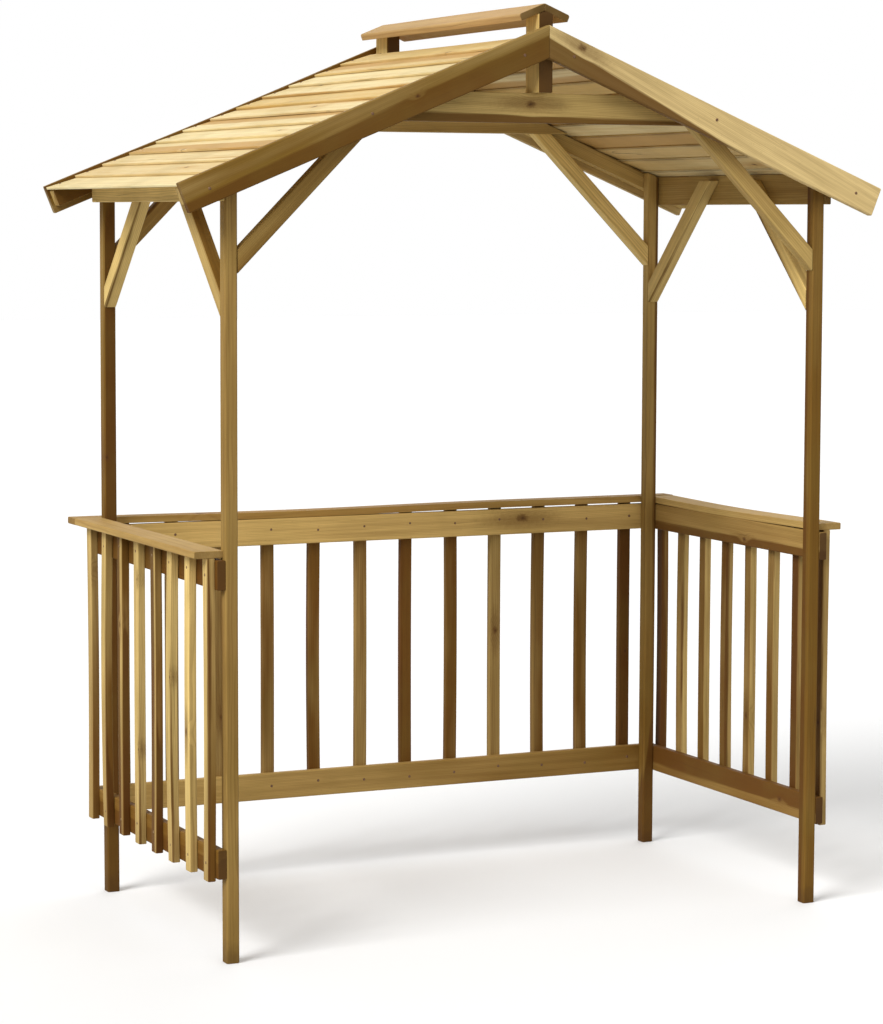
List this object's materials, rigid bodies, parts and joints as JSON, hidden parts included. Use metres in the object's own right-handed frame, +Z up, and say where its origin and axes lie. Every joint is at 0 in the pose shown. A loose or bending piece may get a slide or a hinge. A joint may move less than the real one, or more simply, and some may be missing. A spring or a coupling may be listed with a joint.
{
  "type": "garden gazebo",
  "caption": "Small open timber garden gazebo: square posts, lapped gable roof with raised ridge cap, knee braces, slatted side and back panels with narrow shelves.",
  "frame": {"origin": "on the ground, at the centre of the rectangle that the posts and the roof share", "axes": "+X across the open front to the right, +Y from the open front to the slatted back, +Z up"},
  "size_m": [1.746, 0.93, 2.1],
  "materials": {
    "post_timber": "satin",
    "frame_timber": "satin",
    "barge_timber": "satin",
    "roof_timber": "satin",
    "cap_timber": "satin",
    "shelf_timber": "satin",
    "rail_timber": "satin",
    "slat_timber": "satin"
  },
  "bodies": {
    "root": {"back_bottom_rail": "rail_timber", "back_collar": "frame_timber", "back_king_post": "frame_timber", "back_left_barge": "barge_timber", "back_left_brace": "frame_timber", "back_left_post": "post_timber", "back_left_rafter": "frame_timber", "back_right_barge": "barge_timber", "back_right_brace": "frame_timber", "back_right_post": "post_timber", "back_right_rafter": "frame_timber", "back_shelf": "shelf_timber", "back_slats": "slat_timber", "back_top_rail": "rail_timber", "front_collar": "frame_timber", "front_king_post": "frame_timber", "front_left_barge": "barge_timber", "front_left_brace": "frame_timber", "front_left_post": "post_timber", "front_left_rafter": "frame_timber", "front_right_barge": "barge_timber", "front_right_brace": "frame_timber", "front_right_post": "post_timber", "front_right_rafter": "frame_timber", "left_back_knee": "frame_timber", "left_bottom_rail": "rail_timber", "left_cap_board": "cap_timber", "left_front_knee": "frame_timber", "left_header": "frame_timber", "left_roof_boards": "roof_timber", "left_shelf": "shelf_timber", "left_slats": "slat_timber", "left_top_rail": "rail_timber", "right_back_knee": "frame_timber", "right_bottom_rail": "rail_timber", "right_cap_board": "cap_timber", "right_front_knee": "frame_timber", "right_header": "frame_timber", "right_roof_boards": "roof_timber", "right_shelf": "shelf_timber", "right_slats": "slat_timber", "right_top_rail": "rail_timber"}
  },
  "joints": []
}
